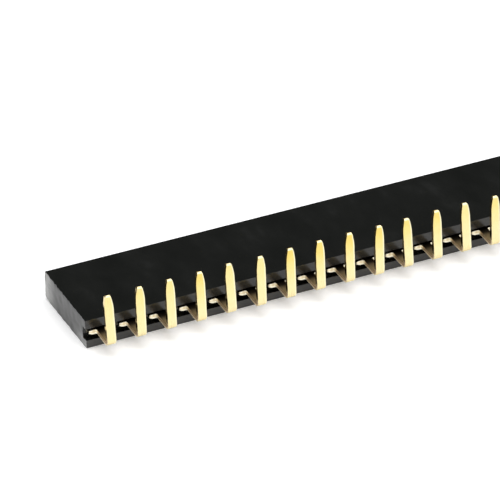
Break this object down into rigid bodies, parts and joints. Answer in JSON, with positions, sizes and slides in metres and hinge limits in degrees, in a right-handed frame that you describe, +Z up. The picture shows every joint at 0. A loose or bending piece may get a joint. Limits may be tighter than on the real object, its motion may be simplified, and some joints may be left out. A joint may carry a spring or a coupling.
{
  "type": "female pin header strip",
  "caption": "Right-angle female pin header: a slim black housing with one row of square sockets, and gold-plated fork contacts whose flat tails leave the back and turn up.",
  "frame": {"origin": "centre of the housing's flat underside, on which the strip lies", "axes": "+X along the row of contacts, +Y out of the mating face with the sockets, +Z up, the way the solder tails point"},
  "size_m": [0.1018, 0.0107, 0.0056],
  "materials": {
    "black_plastic": "semi-matt moulded glass-filled thermoplastic",
    "gold_plate": "thin pale gold plating over nickel on stamped copper alloy"
  },
  "bodies": {
    "root": {"housing": "black_plastic", "contact_01": "gold_plate", "contact_02": "gold_plate", "contact_03": "gold_plate", "contact_04": "gold_plate", "contact_05": "gold_plate", "contact_06": "gold_plate", "contact_07": "gold_plate", "contact_08": "gold_plate", "contact_09": "gold_plate", "contact_10": "gold_plate", "contact_11": "gold_plate", "contact_12": "gold_plate", "contact_13": "gold_plate", "contact_14": "gold_plate", "contact_15": "gold_plate", "contact_16": "gold_plate", "contact_17": "gold_plate", "contact_18": "gold_plate", "contact_19": "gold_plate", "contact_20": "gold_plate", "contact_21": "gold_plate", "contact_22": "gold_plate", "contact_23": "gold_plate", "contact_24": "gold_plate", "contact_25": "gold_plate", "contact_26": "gold_plate", "contact_27": "gold_plate", "contact_28": "gold_plate", "contact_29": "gold_plate", "contact_30": "gold_plate", "contact_31": "gold_plate", "contact_32": "gold_plate", "contact_33": "gold_plate", "contact_34": "gold_plate", "contact_35": "gold_plate", "contact_36": "gold_plate", "contact_37": "gold_plate", "contact_38": "gold_plate", "contact_39": "gold_plate", "contact_40": "gold_plate"}
  },
  "joints": []
}
